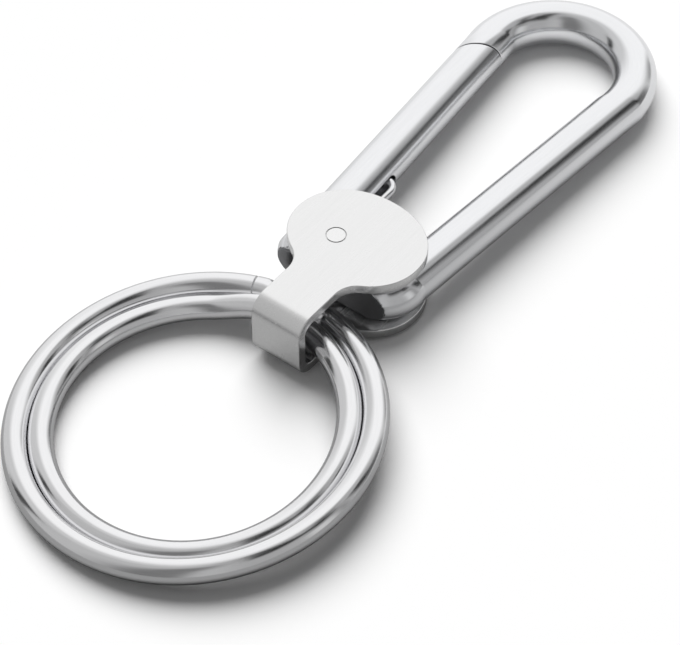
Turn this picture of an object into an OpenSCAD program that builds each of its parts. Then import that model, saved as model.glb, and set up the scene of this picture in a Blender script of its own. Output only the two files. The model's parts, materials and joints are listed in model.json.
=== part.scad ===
// Belt key clip: a spring snap hook, a folded strap that turns on a rivet, and a two-turn key ring.
// Millimetres, +Z up, +X from the key ring to the hook's far bend. The clip lies on z = 0.

/* [Hook rod] */
// Diameter of the round rod of the hook and of the gate
rod_d = 4.4; // [4:0.1:4.8]
// Half the spread of the two legs, measured at the rivet
leg_y = 5.1; // [5:0.1:5.6]
// Angle of each leg away from the centre line
leg_angle = 4.53; // [3.5:0.1:5.5]
// Distance from the rivet to the centre of the far bend
bend_x = 33.2; // [30:0.5:38]
// Inner radius of the fixed leg's corner at the base
corner_in = 0.2; // [0.1:0.05:0.4]
// Distance from the rivet to the base rod's centre line
base_x = 1.4; // [1.2:0.1:1.7]
// Distance from the rivet to the flat ground on the base
base_flat = 2.6; // [2.3:0.1:3]

/* [Gate] */
// Centre-line radius of the gate's heel
heel_r = 1.2; // [0.9:0.1:1.6]
// Distance along the gate from the rivet to the seam at the nose
seam_s = 30.3; // [28:0.1:31]
// Slant of the seam away from square
seam_angle = 29.4; // [20:1:35]
// Width of the seam between the gate and the nose
seam_gap = 0.14; // [0.1:0.01:0.3]
// Length of the spring slot along the gate
slot_len = 11.9; // [11.5:0.1:13]
// Height of the spring slot
slot_h = 1.6; // [1.4:0.1:1.9]
// Depth of the spring slot below the gate's inner side
slot_depth = 1.6; // [1.4:0.1:1.8]

/* [Hinge] */
// Diameter of the rivet
rivet_d = 2.0; // [1.8:0.05:2.2]
// Distance of the rivet from the centre line, towards the gate
rivet_y = 1.73; // [1.6:0.01:1.9]
// Radial running clearance on the rivet
rivet_fit = 0.04; // [0.02:0.01:0.08]
// Radius of the gate's two cheeks
cheek_r = 2.9; // [2.7:0.1:3]
// Thickness of each cheek
cheek_t = 0.75; // [0.6:0.05:0.8]
// Radius of the hook's lug between the cheeks
lug_r = 2.6; // [2.4:0.1:2.65]
// Thickness of the lug
lug_t = 0.9; // [0.8:0.05:0.95]
// Gap between parts that slide face to face
side_gap = 0.1; // [0.08:0.01:0.12]
// Gap between the hook's block and the gate's cheeks
block_gap = 0.2; // [0.15:0.05:0.3]

/* [Gate spring] */
// Diameter of the spring wire
wire_d = 0.7; // [0.65:0.01:0.72]
// Mean radius of the spring's coil
coil_r = 1.5; // [1.45:0.05:1.6]
// Free gap between the turns of the coil
coil_gap = 0.41; // [0.41:0.01:0.43]
// Length of the tail held in the hook's block
tail_len = 4.9; // [4.2:0.1:5.2]
// Radial clearance of the tail in its hole
tail_fit = 0.08; // [0.05:0.01:0.1]
// Distance of the straight leg's end from the gate's centre line
spring_off = 2.9; // [2.8:0.1:3.3]
// Depth of the wire's tip inside the slot
tip_depth = 0.8; // [0.6:0.1:0.9]
// Height of the wire's tip above the middle of the slot
tip_z = 0.3; // [0.2:0.05:0.35]

/* [Strap] */
// Thickness of the strap's sheet
sheet_t = 1.0; // [0.8:0.1:1.2]
// Gap between the two plates
strap_gap = 5.0; // [5:0.05:5.2]
// Half length of the round head along the strap
head_a = 5.65; // [5.4:0.05:5.9]
// Half width of the round head
head_b = 6.85; // [6.5:0.05:7.2]
// Squareness of the head's outline, 2 for an ellipse
head_n = 2.1; // [2:0.05:2.4]
// Distance of the head's middle beyond the rivet
head_x = 0.95; // [0.7:0.05:1.2]
// Width of the strap's narrow strip
strip_w = 5.5; // [5:0.1:6]
// Radius of the fillets between the strip and the head
neck_r = 2.5; // [2.2:0.1:2.8]
// Inner radius of the two bends of the fold
fold_in = 0.9; // [0.5:0.1:1.1]
// Distance from the rivet to the outside of the folded end
fold_end = 11.3; // [11.2:0.1:12]

/* [Key ring] */
// Outer diameter of the key ring
ring_od = 35; // [34:0.5:37]
// Diameter of the ring's wire
ring_wire = 2.4; // [2.2:0.05:2.4]
// Gap between the ring's two turns
turn_gap = 0.45; // [0.42:0.01:0.5]
// Distance from the rivet to the ring's centre
ring_x = 21.83; // [21.5:0.05:22.6]
// Distance of the ring's centre from the centre line
ring_y = 0.91; // [0:0.05:1.2]
// Rise of the outer turn towards the hook
outer_rise = 2.4; // [2:0.1:2.8]
// Rise of the outer turn towards the gate's side
outer_side = -3.0; // [-3.4:0.1:-2]
// Rise of the inner turn towards the hook
inner_rise = 4.8; // [4.4:0.1:5]
// Rise of the inner turn towards the gate's side
inner_side = -0.5; // [-1:0.1:0]
// Depth of the inner turn's dip beside the strap
ring_dip = 1.2; // [0.9:0.1:1.3]
// Angle of the outer turn's cut end from the +X side
ring_end = 19; // [17:1:22]

/* [Hidden] */
$fn = 64;

// One overrun serves every cut
overrun = 2 * rod_d;
rod_r = rod_d / 2;
rivet_r = rivet_d / 2;
wire_r = wire_d / 2;
bore_r = rivet_r + rivet_fit;
rivet_at = [0, rivet_y, 0];
corner_r = rod_r + corner_in;

// The far bend is tangent to both legs
bend_r = (leg_y + bend_x * tan(leg_angle)) * cos(leg_angle);
leg_end = (bend_x - bend_r * sin(leg_angle)) / cos(leg_angle);

// Bent stretches of rod run a little way into the straight ones and are a hair thinner
weld_turn = 1.5;
weld_share = 440;
weld_step = rod_d / weld_share;
bend_turn = 180 + 2 * (leg_angle + weld_turn);

// Layers of the hinge between the plates, from the middle outwards
cheek_out = strap_gap / 2 - side_gap;
cheek_in = cheek_out - cheek_t;
lug_low = side_gap - cheek_in;
lug_top = lug_low + lug_t;
block_r = cheek_r + block_gap;
hollow_r = cheek_r + side_gap;

// The coil fills the space between the lug and the upper cheek: a turn and a quarter
coil_turns = 1.25;
coil_pitch = wire_d + coil_gap;
coil_rise = coil_turns * coil_pitch;
coil_mid = (lug_top + cheek_in) / 2;
leg_z = coil_mid - coil_rise / 2;
tail_z = coil_mid + coil_rise / 2;

// The strap's outer face, the centres of the fold's two bends, and the front of the head
strap_z = strap_gap / 2 + sheet_t;
fold_x = fold_end - sheet_t - fold_in;
fold_z = strap_gap / 2 - fold_in;
head_front = head_x + head_a;

// At rest the clip stands on the head's front edge and on the far bend
far_x = bend_x + bend_r;
reach = far_x - head_front;
tilt = atan(strap_z / reach) - asin(rod_r / norm([reach, strap_z]));
hook_z = far_x * sin(tilt) + rod_r;

// Turns of the key ring, which rests on the same surface
ring_r = ring_wire / 2;
outer_r = ring_od / 2 - ring_r;
inner_r = outer_r - ring_wire - turn_gap;
outer_slope = [tan(outer_rise), tan(outer_side)];
inner_slope = [tan(inner_rise), tan(inner_side)];
ring_z = ring_r + max(outer_r * norm(outer_slope), inner_r * norm(inner_slope));
jog_start = 352;
jog_turn = 22;
dip_start = 368;
dip_in = 25;
dip_out = 130;
ring_stop = 709;

// Middle of the whole clip's box, which is the origin
mid_x = ((far_x + rod_r) * cos(tilt) - ring_x - ring_od / 2) / 2;
mid_y = ring_y;

steel = [0.80, 0.81, 0.82];
bright = [0.87, 0.88, 0.89];
dull = [0.66, 0.67, 0.69];

// A point beside a leg: s along it from the rivet, n outwards from its centre line
function leg_point(s, n) =
    [s * cos(leg_angle) - n * sin(leg_angle), leg_y + s * sin(leg_angle) + n * cos(leg_angle)];

// Centre of a base corner of centre-line radius r, tangent to the leg and to the base rod
function corner_at(r) =
    let (x = r - base_x, start = x - r * sin(leg_angle))
    [x, leg_y + start * tan(leg_angle) - r * cos(leg_angle)];

// A smooth step from 0 to 1 as f goes from 0 to 1
function blend(f) = let (c = max(0, min(1, f))) c * c * (3 - 2 * c);
function unit(v) = v / norm(v);

// Direction of a path at point i, across the corners of its neighbours
function heading(path, i) = unit(path[min(i + 1, len(path) - 1)] - path[max(i - 1, 0)]);

// Points of a round tube of radius r with n sides; side[i] points across the path at point i
function tube_points(path, side, r, n) = [
    for (i = [0:len(path) - 1])
        let (t = heading(path, i), across = unit(side[i] - t * (side[i] * t)), over = cross(t, across))
        for (k = [0:n - 1]) path[i] + r * (cos(360 * k / n) * across + sin(360 * k / n) * over)
];

function tube_faces(rings, n) = concat(
    [for (k = [1:n - 2]) [0, k, k + 1]],
    [for (i = [0:rings - 2], k = [0:n - 1])
        let (a = i * n + k, b = i * n + (k + 1) % n) [a, b + n, b]],
    [for (i = [0:rings - 2], k = [0:n - 1])
        let (a = i * n + k, b = i * n + (k + 1) % n) [a, a + n, b + n]],
    [for (k = [1:n - 2]) [(rings - 1) * n, (rings - 1) * n + k + 1, (rings - 1) * n + k]]
);

// Least distance between two stretches of a path that lie at least apart points from each other
function least_gap(path, apart, d) = min([
    for (i = [0:len(path) - 1 - apart], j = [i + apart:len(path) - 1]) norm(path[i] - path[j])
]) - d;

module tube(path, side, r, n) {
    polyhedron(tube_points(path, side, r, n), tube_faces(len(path), n), convexity = 8);
}

// From the hook's own plane, with the rivet's foot at x = 0, to where the clip lies
module lay_down() {
    translate([-mid_x, -mid_y, hook_z]) rotate([0, tilt, 0]) children();
}

// Rod from the base, round a corner of radius r and along the leg on the +Y side to distance s
module leg_rod(r, s, base_from) {
    at = corner_at(r);
    start = (at.x - r * sin(leg_angle)) / cos(leg_angle);
    translate(leg_point(start, 0)) rotate([0, 90, leg_angle]) rotate(90) cylinder(h = s - start, r = rod_r);
    translate(at) rotate(90 + leg_angle - weld_turn) rotate_extrude(angle = 90 - leg_angle + 2 * weld_turn)
        intersection() {
            translate([r, 0]) circle(rod_r - weld_step);
            translate([0, -overrun]) square(2 * overrun);
        }
    translate([-base_x, base_from, 0]) rotate([-90, 0, 0]) rotate(180) cylinder(h = at.y - base_from, r = rod_r);
}

// Everything on the nose's side (1) or on the gate's side (-1) of the slanted seam
module seam_side(side) {
    translate(leg_point(seam_s, 0)) rotate(leg_angle + seam_angle)
        translate([side * (overrun - seam_gap) / 2, 0, 0]) cube([overrun, 2 * overrun, 2 * overrun], center = true);
}

module flat_cut() {
    translate([-base_flat - overrun / 2, 0, 0]) cube([overrun, 2 * overrun, 2 * overrun], center = true);
}

module hook_shape() {
    nose_back = rod_d;
    difference() {
        union() {
            mirror([0, 1, 0]) leg_rod(corner_r, leg_end, -rivet_y);
            translate([bend_x, 0, 0]) rotate(-bend_turn / 2) rotate_extrude(angle = bend_turn)
                translate([bend_r, 0]) circle(rod_r - weld_step);
            difference() {
                translate(leg_point(seam_s - nose_back, 0)) rotate([0, 90, leg_angle]) rotate(90)
                    cylinder(h = leg_end - seam_s + nose_back, r = rod_r);
                seam_side(-1);
            }
        }
        translate(rivet_at) cylinder(h = 2 * overrun, r = block_r, center = true);
        flat_cut();
    }
    // Neck and lug, which the rivet goes through
    neck_foot = block_r + rod_r;
    translate([0, 0, lug_low]) linear_extrude(lug_t) {
        translate([-base_flat, rivet_y - neck_foot]) square([base_flat, neck_foot]);
        translate([0, rivet_y]) circle(lug_r);
    }
}

module hook_body() {
    color(steel) lay_down() difference() {
        hook_shape();
        translate(rivet_at) cylinder(h = 2 * overrun, r = bore_r, center = true);
        translate([-coil_r, rivet_y, tail_z]) rotate([90, 0, 0])
            cylinder(h = tail_len + coil_gap, r = wire_r + tail_fit);
    }
}

module spring_slot() {
    inner = rod_r - slot_depth;
    translate([0, leg_y, 0]) rotate(leg_angle) translate([0, -inner, 0]) rotate([90, 0, 0])
        linear_extrude(overrun) {
            translate([0, -slot_h / 2]) square([slot_len - slot_h / 2, slot_h]);
            translate([slot_len - slot_h / 2, 0]) circle(slot_h / 2);
        }
}

module gate() {
    color(steel) lay_down() difference() {
        union() {
            leg_rod(heel_r, seam_s + rod_d, rivet_y);
            translate(rivet_at) cylinder(h = 2 * cheek_out, r = cheek_r, center = true);
        }
        seam_side(1);
        translate(rivet_at) cylinder(h = 2 * cheek_in, r = hollow_r, center = true);
        translate(rivet_at) cylinder(h = 2 * overrun, r = bore_r, center = true);
        spring_slot();
        flat_cut();
    }
}

// Path of the spring: its tail, the coil round the rivet, the straight leg, and the tip in the slot
coil_steps = 20;
coil_apart = 10;
leg_steps = 4;
tip_steps = 8;
wire_sides = 8;
tip_s = slot_len - slot_h / 2;
leg_foot = [0, rivet_y + coil_r, leg_z];
leg_tip = concat(leg_point(tip_s - 2 * wire_d, -spring_off), tip_z);
turn_at = concat(leg_point(tip_s, -spring_off), tip_z);
wire_tip = concat(leg_point(tip_s, tip_depth - rod_r), tip_z);

function coil_point(u) =
    let (a = 180 - 360 * coil_turns * u)
    [coil_r * cos(a), rivet_y + coil_r * sin(a), tail_z - coil_rise * u];
function bent(a, b, c, u) = (1 - u) * ((1 - u) * a + u * b) + u * ((1 - u) * b + u * c);

spring_path = concat(
    [[-coil_r, rivet_y - tail_len, tail_z]],
    [[-coil_r, rivet_y - coil_r, tail_z]],
    [for (i = [0:coil_steps]) coil_point(i / coil_steps)],
    [for (i = [1:leg_steps]) leg_foot + (leg_tip - leg_foot) * i / leg_steps],
    [for (i = [1:tip_steps]) bent(leg_tip, turn_at, wire_tip, i / tip_steps)]
);

module gate_spring() {
    up = [for (p = spring_path) [0, 0, 1]];
    color(bright) lay_down() tube(spring_path, up, wire_r, wire_sides);
}

// Outline of one plate: the head, its fillets and the start of the strip
head_step = 4;
function head_point(t) = [
    head_x + head_a * sign(cos(t)) * pow(abs(cos(t)), 2 / head_n),
    head_b * sign(sin(t)) * pow(abs(sin(t)), 2 / head_n)
];
head_half = [for (t = [0:head_step:180]) head_point(t)];
neck_y = strip_w / 2 + neck_r;
function neck_gap(x) = min([for (p = head_half) norm(p - [x, neck_y])]) - neck_r;
function neck_centre(low, high, n) =
    let (mid = (low + high) / 2)
    n == 0 ? mid : neck_gap(mid) > 0 ? neck_centre(mid, high, n - 1) : neck_centre(low, mid, n - 1);
neck_tries = 24;
neck_x = neck_centre(-fold_x - neck_r, 0, neck_tries);
touch_share = 100;
touch_r = neck_r + neck_r / touch_share;
neck_touch = [for (p = head_half) if (norm(p - [neck_x, neck_y]) < touch_r) p][0];
neck_turn = 90 + atan2(neck_touch.y - neck_y, neck_touch.x - neck_x);
neck_steps = 12;
strip_from = (neck_x - fold_x) / 2;
half_outline = concat(
    [for (p = head_half) if (p.x > neck_touch.x || p == head_half[0]) p],
    [for (i = [0:neck_steps])
        let (a = neck_turn * (1 - i / neck_steps) - 90)
        [neck_x + neck_r * cos(a), neck_y + neck_r * sin(a)]],
    [[strip_from, strip_w / 2]]
);

module plate_outline() {
    last = len(half_outline) - 1;
    polygon(concat(half_outline, [for (i = [last:-1:1]) [half_outline[i].x, -half_outline[i].y]]));
}

// A quarter bend of the sheet at height z, from the angle given, 0 at the top and 90 at the end
module sheet_bend(from, z) {
    translate([-fold_x, 0, z]) rotate([0, -90, 0]) rotate([90, 0, 0]) rotate(from) rotate_extrude(angle = 90)
        translate([fold_in, -strip_w / 2]) square([sheet_t, strip_w]);
}

module strap() {
    color(bright) lay_down() {
        for (z = [strap_gap / 2, -strap_z]) translate([0, 0, z]) {
            difference() {
                linear_extrude(sheet_t) plate_outline();
                translate([0, rivet_y, -overrun]) cylinder(h = 2 * overrun, r = rivet_r);
            }
            translate([-fold_x, -strip_w / 2, 0]) cube([fold_x + neck_x, strip_w, sheet_t]);
        }
        sheet_bend(0, fold_z);
        translate([-fold_end, -strip_w / 2, -fold_z]) cube([sheet_t, strip_w, 2 * fold_z]);
        sheet_bend(90, -fold_z);
    }
}

module rivet() {
    color(dull) lay_down() translate(rivet_at) cylinder(h = 2 * strap_z, r = rivet_r, center = true);
}

// The key ring: one wire in two nested turns that lean apart, with the step between them in the strap
turn_steps = 56;
jog_steps = 12;
ring_sides = 12;
ring_apart = 30;
jog_end = jog_start + jog_turn;
ring_angles = concat(
    [for (i = [0:turn_steps - 1]) ring_end + (jog_start - ring_end) * i / turn_steps],
    [for (i = [0:jog_steps - 1]) jog_start + jog_turn * i / jog_steps],
    [for (i = [0:turn_steps]) jog_end + (ring_stop - jog_end) * i / turn_steps]
);
function ring_point(a) =
    let (
        f = blend((a - jog_start) / jog_turn),
        r = outer_r + (inner_r - outer_r) * f,
        slope = outer_slope + (inner_slope - outer_slope) * f,
        dip = ring_dip * blend((a - dip_start) / dip_in) * (1 - blend((a - dip_start - dip_in) / dip_out)),
        flat = [r * cos(a), r * sin(a)]
    )
    [flat.x, flat.y, flat * slope - dip];
ring_path = [for (a = ring_angles) ring_point(a)];

module key_ring() {
    out = [for (a = ring_angles) [cos(a), sin(a), 0]];
    color(dull) translate([-mid_x - ring_x, ring_y - mid_y, ring_z]) tube(ring_path, out, ring_r, ring_sides);
}

echo(spring_least_gap = least_gap([for (i = [0:coil_steps]) coil_point(i / coil_steps)], coil_apart, wire_d));
echo(ring_least_gap = least_gap(ring_path, ring_apart, ring_wire));

hook_body();
gate();
gate_spring();
strap();
rivet();
key_ring();
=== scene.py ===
# %% [markdown]
# # A spring snap hook with a two-turn key ring
#
# This lesson dresses a steel belt key clip for its picture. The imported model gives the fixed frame: where
# each solid lies and how it moves. Every cell below makes one piece or one finish of the real clip and sets
# it on that frame. All lengths are metres, and MM turns a size in millimetres into metres.

# %% Load the frame
import json
from math import atan2, cos, degrees, pi, radians, sin, tan

import bpy
from mathutils import Matrix, Vector


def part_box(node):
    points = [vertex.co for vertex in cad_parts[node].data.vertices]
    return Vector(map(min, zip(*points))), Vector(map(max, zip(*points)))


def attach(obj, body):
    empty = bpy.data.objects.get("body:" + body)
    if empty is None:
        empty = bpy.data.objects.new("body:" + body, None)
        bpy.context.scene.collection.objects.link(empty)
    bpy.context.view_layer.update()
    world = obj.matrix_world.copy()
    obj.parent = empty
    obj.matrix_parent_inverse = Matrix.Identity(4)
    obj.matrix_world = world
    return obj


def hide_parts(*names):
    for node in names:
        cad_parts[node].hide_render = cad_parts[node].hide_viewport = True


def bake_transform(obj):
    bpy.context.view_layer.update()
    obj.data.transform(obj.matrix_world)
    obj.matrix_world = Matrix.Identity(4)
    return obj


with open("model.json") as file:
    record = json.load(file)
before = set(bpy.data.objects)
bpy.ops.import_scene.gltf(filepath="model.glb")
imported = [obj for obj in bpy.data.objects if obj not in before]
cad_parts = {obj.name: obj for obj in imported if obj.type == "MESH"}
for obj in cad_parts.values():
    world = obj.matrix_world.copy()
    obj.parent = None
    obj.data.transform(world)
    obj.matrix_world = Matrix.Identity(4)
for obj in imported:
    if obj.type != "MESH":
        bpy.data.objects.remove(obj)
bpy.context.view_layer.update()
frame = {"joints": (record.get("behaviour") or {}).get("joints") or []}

MM = 0.001

# %% [markdown]
# ## The clip's own plane
#
# The hook was bent flat, so it is easiest to model flat on a bench: x along its axis, y across it towards the
# gate, z through it, with the rivet beside x = 0. A finished piece is then laid down on the table with one
# matrix. The rivet's place and lean come from the frame's own hinge, so nothing has to be fitted by eye.

# %% From the bench to the table
rivet_y = 1.73 * MM
joints = {joint["name"]: joint for joint in frame["joints"]}
lean = Vector(joints["strap_swivel"]["axis"]).normalized()
tilt = atan2(lean.x, lean.z)
hinge_at = Vector(joints["strap_swivel"]["pos_m"])
lay_down = Matrix.Translation(hinge_at) @ Matrix.Rotation(tilt, 4, "Y") @ Matrix.Translation((0, -rivet_y, 0))
print("the clip leans by", round(degrees(tilt), 2), "degrees")


def only(piece):
    """Deselects all and makes one piece the active one."""
    if bpy.context.object and bpy.context.object.mode != "OBJECT":
        bpy.ops.object.mode_set(mode="OBJECT")
    bpy.ops.object.select_all(action="DESELECT")
    piece.select_set(True)
    bpy.context.view_layer.objects.active = piece


def clear_bench():
    """Deselects everything, so that the next primitive is alone."""
    if bpy.context.object and bpy.context.object.mode != "OBJECT":
        bpy.ops.object.mode_set(mode="OBJECT")
    bpy.ops.object.select_all(action="DESELECT")


def pick(piece, kind, test):
    """Selects the piece's verts, edges or faces that pass a test on their middle, and opens edit mode."""
    only(piece)
    mesh = piece.data
    for group in (mesh.vertices, mesh.edges, mesh.polygons):
        group.foreach_set("select", [False] * len(group))
    places = [v.co for v in mesh.vertices]
    chosen = 0
    for item in {"VERT": mesh.vertices, "EDGE": mesh.edges, "FACE": mesh.polygons}[kind]:
        points = [item.co] if kind == "VERT" else [places[i] for i in item.vertices]
        item.select = all(test(point) for point in points)
        chosen += item.select
    bpy.ops.object.mode_set(mode="EDIT")
    bpy.ops.mesh.select_mode(type=kind)
    return chosen


# %% [markdown]
# ## Rods drawn out and bent
#
# The hook and its gate are both bent from one round rod. A ring of points stands for the rod's section: it is
# drawn out along a straight stretch with extrude and turned about a bend's centre with spin, as the rod runs
# through a bending die. The quads then follow the rod, which keeps the mirror-like surface free of ripples.

# %% Sizes of the rod
rod_d = 4.4 * MM
rod_r = rod_d / 2
leg_y = 5.1 * MM
leg_angle = radians(4.53)
bend_x = 33.2 * MM
base_x = 1.4 * MM
base_flat = 2.6 * MM
corner_r = rod_r + 0.2 * MM
heel_r = 1.2 * MM
bend_r = (leg_y + bend_x * tan(leg_angle)) * cos(leg_angle)
leg_end = (bend_x - bend_r * sin(leg_angle)) / cos(leg_angle)
seam_s = 30.3 * MM
seam_angle = radians(29.4)
seam_gap = 0.14 * MM
round_sides = 128
UP = Vector((0, 0, 1))


def leg_point(side, along, out=0.0):
    """A point beside a leg: side is 1 for the gate's leg and -1 for the fixed leg."""
    return Vector((
        along * cos(leg_angle) - out * sin(leg_angle),
        side * (leg_y + along * sin(leg_angle) + out * cos(leg_angle)),
        0,
    ))


def corner_at(side, r):
    """The centre of a base corner of centre-line radius r."""
    x = r - base_x
    start = x - r * sin(leg_angle)
    return Vector((x, side * (leg_y + start * tan(leg_angle) - r * cos(leg_angle)), 0))


def corner_start(r):
    """How far along its leg a base corner of radius r begins."""
    return (corner_at(1, r).x - r * sin(leg_angle)) / cos(leg_angle)


# %% Draw out and bend
def start_rod(name, at, heading):
    """A bare ring of the rod's section, all selected in edit mode."""
    clear_bench()
    turn = UP.rotation_difference(heading).to_euler()
    bpy.ops.mesh.primitive_circle_add(vertices=round_sides, radius=rod_r, location=at, rotation=turn)
    rod = bpy.context.object
    rod.name = name
    bpy.ops.object.transform_apply(location=True, rotation=True, scale=True)
    bpy.ops.object.mode_set(mode="EDIT")
    bpy.ops.mesh.select_mode(type="VERT")
    bpy.ops.mesh.select_all(action="SELECT")
    return rod


def draw_out(step):
    bpy.ops.mesh.extrude_region_move(TRANSFORM_OT_translate={"value": step})


def bend_about(centre, turn, steps):
    """Spins the end ring about an upright axis; a positive turn is anticlockwise from above."""
    bpy.ops.mesh.spin(steps=steps, angle=-turn, center=centre, axis=UP, dupli=False)


def close_rod(rod):
    """Caps the two ends and turns the faces outwards."""
    bpy.ops.mesh.select_all(action="SELECT")
    bpy.ops.mesh.remove_doubles(threshold=0.0001 * MM)
    bpy.ops.mesh.select_all(action="SELECT")
    bpy.ops.mesh.fill_holes(sides=0)
    bpy.ops.mesh.select_all(action="SELECT")
    bpy.ops.mesh.normals_make_consistent(inside=False)
    bpy.ops.object.mode_set(mode="OBJECT")


def slant_end(rod, side_of_gap):
    """Slides the ring at the nose along the leg onto the slanted seam plane."""
    bpy.ops.object.mode_set(mode="OBJECT")
    along = Vector((cos(leg_angle), sin(leg_angle), 0))
    out = Vector((-sin(leg_angle), cos(leg_angle), 0))
    middle = leg_point(1, seam_s)
    for vertex in rod.data.vertices:
        away = (vertex.co - middle).dot(out)
        slide = side_of_gap * seam_gap / 2 / cos(seam_angle) - away * tan(seam_angle)
        vertex.co += along * slide
    bpy.ops.object.mode_set(mode="EDIT")


# %% [markdown]
# ## Cutting and joining
#
# The rod ends are milled for the hinge. A boolean modifier with the exact solver does that work, and each
# tool is a cylinder or a block that is thrown away afterwards. Sharp edges then get a hair-thin bevel, because
# no real edge is perfectly sharp and a thin bevel is what catches the light.

# %% Tools for cutting
def cylinder(at, r, height, axis=UP, sides=96):
    clear_bench()
    turn = UP.rotation_difference(axis).to_euler()
    bpy.ops.mesh.primitive_cylinder_add(vertices=sides, radius=r, depth=height, location=at, rotation=turn)
    bpy.ops.object.transform_apply(location=True, rotation=True, scale=True)
    return bpy.context.object


def block(low, high):
    clear_bench()
    low, high = Vector(low), Vector(high)
    bpy.ops.mesh.primitive_cube_add(size=1, location=(low + high) / 2, scale=high - low)
    bpy.ops.object.transform_apply(location=True, rotation=True, scale=True)
    return bpy.context.object


def combine(piece, tool, how):
    """Joins a tool to the piece (UNION) or takes it away (DIFFERENCE)."""
    boolean = piece.modifiers.new(how, "BOOLEAN")
    boolean.operation = how
    boolean.solver = "EXACT"
    boolean.use_self = True
    boolean.object = tool
    only(piece)
    bpy.ops.object.modifier_apply(modifier=boolean.name)
    bpy.data.objects.remove(tool)


def grind_flat(piece):
    """Cuts away what lies beyond the ground flat at the base."""
    only(piece)
    bpy.ops.object.mode_set(mode="EDIT")
    bpy.ops.mesh.select_all(action="SELECT")
    bpy.ops.mesh.bisect(
        plane_co=(-base_flat, 0, 0), plane_no=(1, 0, 0), use_fill=True, clear_inner=True, clear_outer=False
    )
    bpy.ops.object.mode_set(mode="OBJECT")


def soften(piece, width, test, steps=2):
    """Bevels the edges that pass a test on their ends."""
    chosen = pick(piece, "EDGE", test)
    if chosen:
        bpy.ops.mesh.bevel(offset=width, segments=steps, affect="EDGES", clamp_overlap=True)
    bpy.ops.object.mode_set(mode="OBJECT")
    print(piece.name, "bevelled edges:", chosen)


def polish(piece):
    """Smooth shading that keeps flats flat and edges crisp."""
    only(piece)
    bpy.ops.object.shade_smooth_by_angle(angle=radians(32))
    weighted = piece.modifiers.new("flats", "WEIGHTED_NORMAL")
    weighted.keep_sharp = True
    bpy.ops.object.modifier_apply(modifier=weighted.name)


def set_down(piece, body, node):
    """Lays a bench-made piece on the table and ties it to its body and node."""
    only(piece)
    piece.matrix_world = lay_down
    bpy.ops.object.transform_apply(location=True, rotation=True, scale=True)
    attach(piece, body)
    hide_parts(node)
    print(piece.name, "faces:", len(piece.data.polygons))


# %% [markdown]
# ## The hook
#
# The hook's nose, far bend, fixed leg and base are one rod. It starts at the slanted nose, where the first
# ring of points is slid onto the seam's plane, and ends in the base below the strap. There the rod is turned
# away around the rivet, which leaves a block with a thin lug for the hinge, and ground flat behind.

# %% Sizes of the hinge
rivet_r = 1.0 * MM
bore_r = rivet_r + 0.04 * MM
rivet_at = Vector((0, rivet_y, 0))
strap_gap = 5.0 * MM
side_gap = 0.1 * MM
cheek_r = 2.9 * MM
cheek_t = 0.75 * MM
lug_r = 2.6 * MM
lug_t = 0.9 * MM
cheek_out = strap_gap / 2 - side_gap
cheek_in = cheek_out - cheek_t
lug_low = side_gap - cheek_in
lug_top = lug_low + lug_t
block_r = cheek_r + 0.2 * MM
hollow_r = cheek_r + side_gap
through = 4 * rod_d
edge_width = 0.07 * MM
hair = 0.001 * MM


def at_seam(side_of_gap):
    """A test for points on one face of the seam."""
    middle = leg_point(1, seam_s)
    normal = Vector((cos(leg_angle + seam_angle), sin(leg_angle + seam_angle), 0))
    def test(point):
        near_nose = point.y > 0 and point.x < bend_x
        return near_nose and abs((point - middle).dot(normal) - side_of_gap * seam_gap / 2) < hair
    return test


def on_flat(point):
    return abs(point.x + base_flat) < hair


# %% Bend the hook
gate_way = Vector((cos(leg_angle), sin(leg_angle), 0))
fixed_way = Vector((cos(leg_angle), -sin(leg_angle), 0))
hook = start_rod("hook_rod", leg_point(1, seam_s), gate_way)
slant_end(hook, 1)
draw_out(leg_point(1, leg_end) - leg_point(1, seam_s))
bend_about((bend_x, 0, 0), -(pi + 2 * leg_angle), 72)
draw_out(leg_point(-1, corner_start(corner_r)) - leg_point(-1, leg_end))
bend_about(corner_at(-1, corner_r), -(pi / 2 - leg_angle), 48)
draw_out(Vector((0, rivet_y - corner_at(-1, corner_r).y, 0)))
close_rod(hook)

# %% Mill the hook's hinge
neck_foot = block_r + rod_r
combine(hook, cylinder(rivet_at, block_r, through), "DIFFERENCE")
lug_mid = rivet_at + UP * (lug_low + lug_top) / 2
lug = cylinder(lug_mid, lug_r, lug_t)
combine(lug, block((-base_flat - rod_r, rivet_y - neck_foot, lug_low), (0, rivet_y, lug_top)), "UNION")
combine(hook, lug, "UNION")
grind_flat(hook)
combine(hook, cylinder(rivet_at, bore_r, through, sides=48), "DIFFERENCE")
soften(hook, edge_width, at_seam(1))
soften(hook, edge_width, on_flat)
polish(hook)
set_down(hook, "hook", "hook_body")

# %% [markdown]
# ## The gate
#
# The gate is the same rod from the other side of the seam down to its heel. Two cheeks hold the rivet, with a
# hollow between them for the hook's lug and the spring, and a slot in the inner side takes the spring's end.
# The slot's tool is a short cylinder whose one half is pushed back, which makes a stadium shape.

# %% Bend the gate
gate = start_rod("gate_rod", leg_point(1, seam_s), -gate_way)
slant_end(gate, -1)
draw_out(leg_point(1, corner_start(heel_r)) - leg_point(1, seam_s))
bend_about(corner_at(1, heel_r), pi / 2 - leg_angle, 48)
draw_out(Vector((0, rivet_y - corner_at(1, heel_r).y, 0)))
close_rod(gate)

# %% Mill the gate's hinge and slot
slot_len = 11.9 * MM
slot_h = 1.6 * MM
slot_depth = 1.6 * MM


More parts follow.
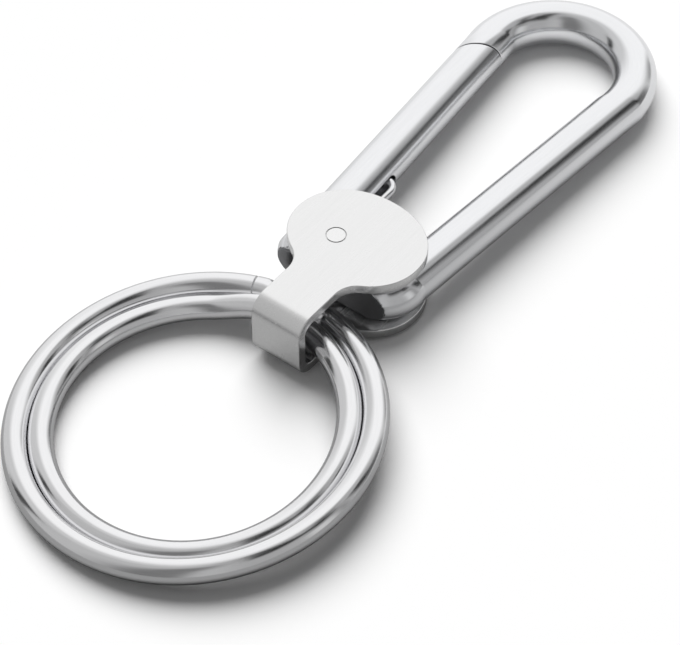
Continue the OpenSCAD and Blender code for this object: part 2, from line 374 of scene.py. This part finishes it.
def slot_tool():
    """A stadium prism that reaches inwards from the slot's floor."""
    inwards = Vector((sin(leg_angle), -cos(leg_angle), 0))
    end = leg_point(1, slot_len - slot_h / 2)
    floor_out = rod_r - slot_depth
    tool = cylinder(end + inwards * (floor_out + rod_r), slot_h / 2, 2 * rod_r, inwards, sides=48)
    pick(tool, "VERT", lambda point: (point - end).dot(gate_way) < -hair)
    bpy.ops.transform.translate(value=-gate_way * (slot_len - slot_h))
    bpy.ops.object.mode_set(mode="OBJECT")
    return tool


combine(gate, cylinder(rivet_at, cheek_r, 2 * cheek_out), "UNION")
combine(gate, cylinder(rivet_at, hollow_r, 2 * cheek_in), "DIFFERENCE")
grind_flat(gate)
combine(gate, slot_tool(), "DIFFERENCE")
combine(gate, cylinder(rivet_at, bore_r, through, sides=48), "DIFFERENCE")
soften(gate, edge_width, at_seam(-1))
polish(gate)
set_down(gate, "gate", "gate")

# %% [markdown]
# ## Wire
#
# The spring and the key ring are wound from wire, so their shape is a path with a round section. A curve
# with a bevel is the natural tool: the path's points come from a formula, and the curve is made a mesh.

# %% Draw a wire along a path
def wire(name, path, r, resolution):
    """A round wire along a list of points, made a mesh."""
    clear_bench()
    curve = bpy.data.curves.new(name, "CURVE")
    curve.dimensions = "3D"
    curve.bevel_depth = r
    curve.bevel_resolution = resolution
    curve.use_fill_caps = True
    spline = curve.splines.new("POLY")
    spline.points.add(len(path) - 1)
    for point, place in zip(spline.points, path):
        point.co = (*place, 1)
    piece = bpy.data.objects.new(name, curve)
    bpy.context.collection.objects.link(piece)
    only(piece)
    bpy.ops.object.convert(target="MESH")
    piece = bpy.context.object
    bpy.ops.object.mode_set(mode="EDIT")
    bpy.ops.mesh.select_all(action="SELECT")
    bpy.ops.mesh.remove_doubles(threshold=0.0001 * MM)
    bpy.ops.mesh.normals_make_consistent(inside=False)
    bpy.ops.object.mode_set(mode="OBJECT")
    return piece


def ease(f):
    """Goes smoothly from 0 to 1."""
    f = min(1.0, max(0.0, f))
    return f * f * (3 - 2 * f)


# %% [markdown]
# ## The gate's spring
#
# A thin wire pushes the gate shut. Its tail sits in the hook's block, a turn and a quarter of coil lies round
# the rivet, and its leg runs forward and bends into the gate's slot. When the gate opens, the leg goes with
# it while the tail stays; here the piece is laid down in its shut shape and tied to no body.

# %% Wind the spring
wire_d = 0.7 * MM
coil_r = 1.5 * MM
coil_turns = 1.25
coil_rise = coil_turns * (wire_d + 0.41 * MM)
coil_mid = (lug_top + cheek_in) / 2
leg_z = coil_mid - coil_rise / 2
tail_z = coil_mid + coil_rise / 2
tail_len = 4.9 * MM
spring_off = 2.9 * MM
tip_depth = 0.8 * MM
tip_z = 0.3 * MM
tip_s = slot_len - slot_h / 2
coil_steps = 60
leg_steps = 12
tip_steps = 16


def coil_point(u):
    turn = pi - 2 * pi * coil_turns * u
    return Vector((coil_r * cos(turn), rivet_y + coil_r * sin(turn), tail_z - coil_rise * u))


def bent(a, b, c, u):
    return ((1 - u) * a + u * b) * (1 - u) + ((1 - u) * b + u * c) * u


leg_foot = Vector((0, rivet_y + coil_r, leg_z))
leg_tip = leg_point(1, tip_s - 2 * wire_d, -spring_off) + UP * tip_z
turn_at = leg_point(1, tip_s, -spring_off) + UP * tip_z
wire_tip = leg_point(1, tip_s, tip_depth - rod_r) + UP * tip_z
spring_path = [Vector((-coil_r, rivet_y - tail_len, tail_z))]
spring_path += [coil_point(i / coil_steps) for i in range(coil_steps + 1)]
spring_path += [leg_foot.lerp(leg_tip, i / leg_steps) for i in range(1, leg_steps + 1)]
spring_path += [bent(leg_tip, turn_at, wire_tip, i / tip_steps) for i in range(1, tip_steps + 1)]

spring = wire("spring_wire", spring_path, wire_d / 2, 6)
polish(spring)
only(spring)
spring.matrix_world = lay_down
bpy.ops.object.transform_apply(location=True, rotation=True, scale=True)
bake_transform(spring)
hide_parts("gate_spring")

# %% [markdown]
# ## The strap
#
# The strap is one piece of sheet: two plates with round heads, folded about the key ring. Its outline is laid
# out as a blank, the fold is spun from the strip's end, and Solidify gives the sheet its thickness. The blank
# starts as a circle whose points are moved onto the outline, so the head stays evenly curved.

# %% Sizes of the strap
sheet_t = 1.0 * MM
head_a = 5.65 * MM
head_b = 6.85 * MM
head_n = 2.1
head_x = 0.95 * MM
strip_w = 5.5 * MM
neck_r = 2.5 * MM
fold_in = 0.9 * MM
fold_end = 11.3 * MM
fold_x = fold_end - sheet_t - fold_in
fold_z = strap_gap / 2 - fold_in
plate_z = (strap_gap + sheet_t) / 2
head_steps = 120
neck_steps = 28


def head_point(turn):
    """A point on the head's outline, a slightly squared ellipse."""
    c, s = cos(turn), sin(turn)
    x = head_a * abs(c) ** (2 / head_n) * (1 if c >= 0 else -1)
    return Vector((head_x + x, head_b * abs(s) ** (2 / head_n), 0))


def strap_outline():
    """Half of the outline from the head's front to the fold, with the fillet that touches head and strip."""
    head = [head_point(pi * i / head_steps) for i in range(head_steps + 1)]
    neck_y = strip_w / 2 + neck_r
    low, high = -fold_x - neck_r, 0.0
    while high - low > hair / 10:
        middle = (low + high) / 2
        clear = min((point - Vector((middle, neck_y, 0))).length for point in head) > neck_r
        low, high = (middle, high) if clear else (low, middle)
    centre = Vector((low, neck_y, 0))
    touch = min(head, key=lambda point: (point - centre).length)
    turn = atan2(touch.y - centre.y, touch.x - centre.x)
    swing = -pi / 2 - turn
    fillet = [
        centre + neck_r * Vector((cos(turn + swing * i / neck_steps), sin(turn + swing * i / neck_steps), 0))
        for i in range(neck_steps + 1)
    ]
    return [point for point in head if point.x > touch.x + hair] + fillet + [Vector((-fold_x, strip_w / 2, 0))]


# %% Cut the blank and fold it
def plate(name, z):
    """One flat plate with the strap's outline."""
    half = strap_outline()
    outline = half + [Vector((p.x, -p.y, 0)) for p in reversed(half[1:])]
    clear_bench()
    bpy.ops.mesh.primitive_circle_add(vertices=len(outline), radius=head_b, fill_type="NGON")
    made = bpy.context.object
    made.name = name
    for vertex, place in zip(made.data.vertices, outline):
        vertex.co = place + UP * z
    return made


strap = plate("strap_sheet", plate_z)
lower = plate("lower_plate", -plate_z)
pick(strap, "EDGE", lambda point: point.x < -fold_x + hair)
for side in (1, -1):
    bpy.ops.mesh.spin(steps=14, angle=pi / 2, center=(-fold_x, 0, side * fold_z), axis=(0, 1, 0), dupli=False)
    if side > 0:
        draw_out((0, 0, -2 * fold_z))
bpy.ops.object.mode_set(mode="OBJECT")
print("the fold reaches x =", round(min(v.co.x for v in strap.data.vertices) / MM, 2), "mm")
only(strap)
lower.select_set(True)
bpy.ops.object.join()
bpy.ops.object.mode_set(mode="EDIT")
bpy.ops.mesh.select_all(action="SELECT")
bpy.ops.mesh.remove_doubles(threshold=hair)
bpy.ops.mesh.normals_make_consistent(inside=False)
bpy.ops.object.mode_set(mode="OBJECT")
thick = strap.modifiers.new("sheet", "SOLIDIFY")
thick.thickness = sheet_t
thick.offset = 0
bpy.ops.object.modifier_apply(modifier=thick.name)
rounded = strap.modifiers.new("edges", "BEVEL")
rounded.width = 0.1 * MM
rounded.segments = 3
rounded.limit_method = "ANGLE"
rounded.angle_limit = radians(50)
bpy.ops.object.modifier_apply(modifier=rounded.name)

# %% [markdown]
# ## The rivet
#
# The rivet's head is ground flush with the sheet, so all that shows is the fine dark ring of its joint. That
# ring is made as real depth: the hole is a hair wider than the head, and the shank below fills it again.

# %% Drill the strap and set the rivet
joint_gap = 0.12 * MM
joint_depth = 0.35 * MM
rivet_top = strap_gap / 2 + sheet_t
combine(strap, cylinder(rivet_at, rivet_r, through, sides=64), "DIFFERENCE")
polish(strap)
set_down(strap, "strap", "strap")

rivet = cylinder(rivet_at, rivet_r, 2 * (rivet_top - joint_depth), sides=64)
rivet.name = "rivet_pin"
for end in (1, -1):
    pick(rivet, "FACE", lambda point: end * point.z > rivet_top - joint_depth - hair)
    bpy.ops.mesh.inset(thickness=joint_gap)
    bpy.ops.mesh.extrude_region_move(TRANSFORM_OT_translate={"value": UP * end * joint_depth})
    bpy.ops.object.mode_set(mode="OBJECT")
polish(rivet)
set_down(rivet, "strap", "rivet")

# %% [markdown]
# ## The key ring
#
# The ring is one wire wound twice. The turns nest, the outer one around the inner one, and lean a little
# apart, as a ring does that has been sprung open. Inside the strap the two wires cross, one over the other,
# so that both ends meet on the outer turn. There they also draw in a little.

# %% Wind the key ring
ring_od = 35.0 * MM
ring_wire = 2.4 * MM
ring_r = ring_wire / 2
outer_r = ring_od / 2 - ring_r
inner_r = outer_r - ring_wire
mid_r = (outer_r + inner_r) / 2
ring_low, ring_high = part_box("key_ring")
ring_centre = Vector((ring_low.x + ring_od / 2, (ring_low.y + ring_high.y) / 2, 2.3355 * MM))
outer_rise, outer_side = radians(2.4), radians(-3.0)
inner_rise, inner_side = radians(4.8), radians(-0.5)
ring_dip = 1.2 * MM
seam_at, seam_half = 19.0, 0.35
inward_start, inward_turn = -11.0, 24.0
outward_start, outward_turn = -8.0, 24.0
cross_in = 0.8 * MM
cross_lift = 0.62 * MM
cross_r = 0.85 * MM
dip_start, dip_in, dip_out = 368.0, 25.0, 130.0


def lean_of(rise, side, x, y):
    return x * tan(rise) + y * tan(side)


def ring_point(turn):
    """A point on the ring's centre line: the turn runs from the seam twice round, in degrees."""
    first = (turn - 360 - inward_start) / inward_turn
    second = (turn - 720 - outward_start) / outward_turn
    inner = ease(first) - ease(second)
    twist = pi * inner
    arch = sin(twist)
    r = mid_r + cos(twist) * (outer_r - mid_r) - arch * cross_in
    x, y = r * cos(radians(turn)), r * sin(radians(turn))
    low = lean_of(outer_rise, outer_side, x, y)
    high = lean_of(inner_rise, inner_side, x, y)
    dip = ring_dip * ease((turn - dip_start) / dip_in) * (1 - ease((turn - dip_start - dip_in) / dip_out))
    over = cross_r if turn < 540 else -cross_r
    z = low + (high - low) * inner - dip + arch * over + arch * arch * cross_lift
    return ring_centre + Vector((x, y, z))


ring_steps = 480
ring_start, ring_turn = seam_at + seam_half, 720 - 2 * seam_half
ring_path = [ring_point(ring_start + ring_turn * i / ring_steps) for i in range(ring_steps + 1)]
ring = wire("ring_wire", ring_path, ring_r, 14)
polish(ring)
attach(ring, "ring")
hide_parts("key_ring")
print("ring centre:", [round(c / MM, 2) for c in ring_centre])

# %% [markdown]
# ## Writing finishes as sums
#
# A finish is a small sum of patterns. The class below lets a node's output be used in ordinary Python sums,
# and one method makes any other node, so a recipe reads like a formula instead of a wiring list.


# %% A small language for finishes
class Signal:
    """An output of a node, which can be used in sums."""

    def __init__(self, recipe, socket):
        self.recipe = recipe
        self.socket = socket

    def maths(self, operation, *others):
        values = dict(enumerate((self, *others)))
        return self.recipe.node("ShaderNodeMath", {"operation": operation}, values)

    def __add__(self, other):
        return self.maths("ADD", other)

    def __sub__(self, other):
        return self.maths("SUBTRACT", other)

    def __mul__(self, other):
        return self.maths("MULTIPLY", other)

    def __truediv__(self, other):
        return self.maths("DIVIDE", other)

    def __rsub__(self, other):
        return self.recipe.node("ShaderNodeMath", {"operation": "SUBTRACT"}, {0: other, 1: self})

    def __pow__(self, other):
        return self.maths("POWER", other)

    __radd__ = __add__
    __rmul__ = __mul__


class Recipe:
    """The nodes of one material or of the world."""

    def __init__(self, owner):
        owner.use_nodes = True
        self.tree = owner.node_tree
        self.tree.nodes.clear()

    def node(self, kind, settings=None, values=None, output=0):
        made = self.tree.nodes.new(kind)
        for name, value in (settings or {}).items():
            setattr(made, name, value)
        for name, value in (values or {}).items():
            if isinstance(value, Signal):
                self.tree.links.new(value.socket, made.inputs[name])
            else:
                made.inputs[name].default_value = value
        return Signal(self, made.outputs[output]) if made.outputs else made

    def clamp(self, signal):
        return self.node("ShaderNodeClamp", None, {"Value": signal})

    def place(self):
        """The object's own x, y and z in metres."""
        spot = self.node("ShaderNodeTexCoord", None, None, "Object")
        parts = self.node("ShaderNodeSeparateXYZ", None, {0: spot})
        return [Signal(self, parts.socket.node.outputs[i]) for i in range(3)]

    def mix(self, factor, dark, light):
        """A colour between two others."""
        mixer = self.node("ShaderNodeMix", {"data_type": "RGBA"}, {"Factor": factor}).socket.node
        for socket in mixer.inputs:
            if socket.type == "RGBA" and socket.name in ("A", "B"):
                socket.default_value = dark if socket.name == "A" else light
        return Signal(self, next(out for out in mixer.outputs if out.type == "RGBA"))

    def noise(self, x, y, z, detail=3.0):
        spot = self.node("ShaderNodeCombineXYZ", None, {0: x, 1: y, 2: z})
        return self.node("ShaderNodeTexNoise", None, {"Vector": spot, "Scale": 1.0, "Detail": detail})


# %% [markdown]
# ## Steel
#
# All parts are stainless steel, and they differ in how they were finished. Drawn and polished rod has faint
# lines along its length, brushed sheet has strong ones in one direction, and a ground flat is duller. So one
# recipe takes the direction of the lines, their depth and the gloss, and each finish calls it with its own.
# The ground flats, the milled faces round the rivet and the strap's inner faces also get a dark tone, which
# is painted shade.

# %% Steel finishes
def steel(name, tone, gloss, grain, across, depth, lines):
    """Steel with lines: lines(recipe) gives a long, a cross and an upright distance in metres."""
    material = bpy.data.materials.new(name)
    recipe = Recipe(material)
    long, cross, upright = lines(recipe)
    fine = recipe.noise(long * grain, cross * across, upright * across)
    broad = recipe.noise(long * grain / 6, cross * across / 9, upright * across / 9, 2.0)
    mixed = recipe.clamp(fine * 0.6 + broad * 0.4)
    dark = [part * 0.93 for part in tone] + [1]
    light = [min(1.0, part * 1.05) for part in tone] + [1]
    colour = recipe.mix(mixed, dark, light)
    rough = recipe.clamp(gloss * 0.6 + mixed * gloss * 0.8)
    bump = recipe.node("ShaderNodeBump", None, {"Strength": depth, "Distance": 0.004 * MM, "Height": fine})
    surface = recipe.node("ShaderNodeBsdfPrincipled", None, {
        "Base Color": colour, "Metallic": 1.0, "Roughness": rough, "Normal": bump,
    })
    recipe.node("ShaderNodeOutputMaterial", None, {"Surface": surface})
    return material


def along_x(recipe):
    return recipe.place()


def round_ring(recipe):
    """Distances along and across the key ring's wire."""
    x, y, z = recipe.place()
    x = x - ring_centre.x
    y = y - ring_centre.y
    turn = recipe.node("ShaderNodeMath", {"operation": "ARCTAN2"}, {0: y, 1: x})
    return turn * outer_r, (x * x + y * y) ** 0.5, z


def round_hook(recipe):
    """Distances along and across the hook's rod: straight legs, and a turn about the far bend's centre."""
    x, y, z = recipe.place()
    middle = lay_down @ Vector((bend_x, 0, 0))
    x = x - middle.x
    y = y - middle.y
    beyond = x.maths("GREATER_THAN", 0.0)
    turn = recipe.node("ShaderNodeMath", {"operation": "ARCTAN2"}, {0: x, 1: y.maths("ABSOLUTE")})
    radial = (x * x + y * y) ** 0.5
    level = y.maths("ABSOLUTE") - x * tan(leg_angle)
    long = turn * bend_r * beyond + x * (1 - beyond)
    return long, radial * beyond + level * (1 - beyond), z


rod_steel = steel("polished_rod", (0.84, 0.845, 0.86), 0.17, 300, 9000, 0.10, round_hook)
gate_steel = steel("polished_gate", (0.84, 0.845, 0.86), 0.20, 300, 9000, 0.12, along_x)
wire_steel = steel("bright_wire", (0.84, 0.84, 0.85), 0.16, 400, 9000, 0.08, round_ring)
spring_steel = steel("spring_steel", (0.80, 0.80, 0.81), 0.16, 500, 9000, 0.08, along_x)
sheet_steel = steel("brushed_sheet", (0.83, 0.83, 0.83), 0.25, 120, 14000, 0.22, along_x)
rivet_steel = steel("brushed_rivet", (0.86, 0.86, 0.86), 0.25, 120, 14000, 0.22, along_x)
# A dark tone on the ground flats and milled faces: the duller grinding is real, the darkness is painted shade.
ground_painted_shade_steel = steel("ground_flat_painted_shade", (0.31, 0.31, 0.32), 0.50, 2000, 9000, 0.30, along_x)
# A dark tone on the strap's inner faces: painted shade.
inside_painted_shade_steel = steel("strap_inside_painted_shade", (0.34, 0.34, 0.35), 0.45, 500, 9000, 0.20, along_x)


def is_ground(at, normal):
    """On the flat that was ground across the base, or milled round the rivet; these faces get painted shade."""
    reach = 0.05 * MM
    ground = abs(at.x + base_flat) < reach and normal.x < -0.9
    milled = abs((at - rivet_at).to_2d().length - cheek_r) < block_r - cheek_r + reach and abs(normal.z) < 0.5
    return ground or (milled and at.x < 0)


def is_inside(at, normal):
    """Inside the folded strap, where the sheet gets painted shade."""
    reach = 0.05 * MM
    within = abs(at.z) < strap_gap / 2 + reach and -(fold_end - sheet_t) - reach < at.x < -base_flat
    return within and abs(normal.y) < 0.5


def dress(piece, finish, other=None, test=None):
    """Gives a piece its finish, and a second one where a test on the bench-made piece's faces holds."""
    mesh = piece.data
    mesh.materials.clear()
    mesh.materials.append(finish)
    if other:
        mesh.materials.append(other)
        lift_up = lay_down.inverted()
        marked = [f for f in mesh.polygons if test(lift_up @ f.center, lift_up.to_3x3() @ f.normal)]
        for face in marked:
            face.material_index = 1
        print(piece.name, "faces with", other.name, len(marked))


# The second finishes paint shade onto the flats, the milled faces and the strap's inner faces.
dress(hook, rod_steel, ground_painted_shade_steel, is_ground)
dress(gate, gate_steel, ground_painted_shade_steel, is_ground)
dress(strap, sheet_steel, inside_painted_shade_steel, is_inside)
dress(ring, wire_steel)
dress(spring, spring_steel)
dress(rivet, rivet_steel)

# %% [markdown]
# ## Table, light and camera
#
# Polished steel shows what stands round it, so the studio is part of the picture: pale walls for the bright
# faces of the rods, and dark gaps between them for the thin black lines. The table is plain white to the
# camera, but what the steel sees of it is painted: darker towards the front and paler behind the clip, as
# painted shade and painted light. One broad, soft lamp shines from behind and a little to the left, and
# casts the soft shadows towards the front and a little to the right.

# %% The table
clear_bench()
bpy.ops.mesh.primitive_plane_add(size=6)
table = bpy.context.object
table.name = "table"
paper = bpy.data.materials.new("white_paper")
recipe = Recipe(paper)
rays = recipe.node("ShaderNodeLightPath").socket.node
seen, mirrored = Signal(recipe, rays.outputs["Is Camera Ray"]), Signal(recipe, rays.outputs["Is Glossy Ray"])
x, y, z = recipe.place()
# What the steel sees of the table is painted: darker towards the front and paler behind the clip, as painted
# shade and painted light.
painted_light_behind = recipe.clamp((x * cos(radians(33)) + y * sin(radians(33))) / (60 * MM) + 0.4)
painted_reflection = 0.34 + painted_light_behind * 0.5
level = seen * 1.0 + (1 - seen) * (mirrored * painted_reflection + (1 - mirrored) * 0.8)
colour = recipe.mix(level, (0, 0, 0, 1), (1, 1, 1, 1))
matte = recipe.node("ShaderNodeBsdfDiffuse", None, {"Color": colour})
recipe.node("ShaderNodeOutputMaterial", None, {"Surface": matte})
table.data.materials.append(paper)


# %% The lamps
def lamp(name, azimuth, elevation, strength, spread):
    """A broad, distant lamp; its angles are those of the place that it shines from."""
    light = bpy.data.lights.new(name, "SUN")
    light.energy = strength
    light.angle = radians(spread)
    made = bpy.data.objects.new(name, light)
    bpy.context.collection.objects.link(made)
    a, e = radians(azimuth), radians(elevation)
    from_there = Vector((cos(e) * cos(a), cos(e) * sin(a), sin(e)))
    made.rotation_euler = from_there.to_track_quat("Z", "Y").to_euler()
    made.visible_glossy = False
    return made


ambient = 0.17
key_share = 1.0 - ambient
lamp("key", 50, 55, key_share * pi / sin(radians(55)), 56)

# %% The studio round the clip
world = bpy.data.worlds.new("studio")
bpy.context.scene.world = world
world.cycles.sampling_method = "NONE"
recipe = Recipe(world)
way = recipe.node("ShaderNodeTexCoord", None, None, "Generated")
parts = recipe.node("ShaderNodeSeparateXYZ", None, {0: way}).socket.node
way_x, way_y, way_z = [Signal(recipe, parts.outputs[i]) for i in range(3)]
height = way_z.maths("ARCSINE") * (180 / pi)
flat = (way_x * way_x + way_y * way_y + 1e-9) ** 0.5


def fade(signal, start, end):
    """Falls smoothly from 1 to 0 as the signal goes from start to end."""
    return recipe.node(
        "ShaderNodeMapRange", {"interpolation_type": "SMOOTHSTEP"},
        {"Value": signal, "From Min": start, "From Max": end, "To Min": 1.0, "To Max": 0.0},
    )


def wall(azimuth, half, low, high, soft_a, soft_e):
    """How much of a pale wall lies in a direction; it fades over soft_a degrees sideways and soft_e in height."""
    a = radians(azimuth)
    aligned = (way_x * cos(a) + way_y * sin(a)) / flat * 0.99999
    off = aligned.maths("ARCCOSINE") * (180 / pi)
    sideways = fade(off, half - soft_a / 2, half + soft_a / 2)
    top = fade(height, high - soft_e / 2, high + soft_e / 2)
    bottom = fade(height * -1, -low - soft_e / 2, -low + soft_e / 2)
    return sideways * top * bottom


walls = (
    (29, 53, -60, 83, 20, 30, 1.05),
    (100, 32, -60, 95, 40, 10, 0.66),
    (132, 24, -60, 95, 16, 10, 0.54),
    (192, 20, -60, 72, 24, 8, 0.20),
    (143, 43, -60, -3, 6, 16, 0.37),
    (115, 6, -25, 36, 5, 8, 0.03),
    (-12, 10, -60, 20, 12, 32, 0.34),
    (-41, 11, -60, 23, 14, 6, 0.14),
    (-77, 14, -60, 38, 7, 6, 0.24),
    (-81, 10, -60, 33, 14, 6, 0.66),
    (-108, 18, -60, 48, 16, 14, 0.42),
    (-142, 8, -60, 50, 16, 8, 0.50),
    (-49, 7, 16, 40, 8, 6, 0.01),
    (-71, 10, 42, 60, 5, 6, 0.04),
    (-101, 20, 48, 88, 6, 16, 0.03),
    (-56, 7, 57, 68, 8, 6, 0.04),
)
level = 0.46
for *place, brightness in walls:
    level = level + (brightness - level) * wall(*place)
rays = recipe.node("ShaderNodeLightPath").socket.node
camera_ray = Signal(recipe, rays.outputs["Is Camera Ray"])
glossy_ray = Signal(recipe, rays.outputs["Is Glossy Ray"])
strength = camera_ray + (1 - camera_ray) * (glossy_ray * level + (1 - glossy_ray) * ambient)
sky = recipe.node("ShaderNodeBackground", None, {"Color": (1, 1, 1, 1), "Strength": strength})
recipe.node("ShaderNodeOutputWorld", None, {"Surface": sky})

# %% The camera
camera_at = Vector((-141.65, -113.74, 207.2)) * MM
look_at = Vector((-5.15, -2.04, 0)) * MM
roll = radians(2.17)
forward = (look_at - camera_at).normalized()
level_right = forward.cross(UP).normalized()
level_up = level_right.cross(forward)
right = level_right * cos(roll) - level_up * sin(roll)
up = level_right * sin(roll) + level_up * cos(roll)
lens = bpy.data.cameras.new("camera")
lens.lens = 154.9
lens.sensor_width = 36
camera = bpy.data.objects.new("camera", lens)
bpy.context.collection.objects.link(camera)
camera.matrix_world = Matrix((
    (right.x, up.x, -forward.x, camera_at.x),
    (right.y, up.y, -forward.y, camera_at.y),
    (right.z, up.z, -forward.z, camera_at.z),
    (0, 0, 0, 1),
))
bpy.context.scene.camera = camera
bpy.context.scene.view_settings.view_transform = "Standard"
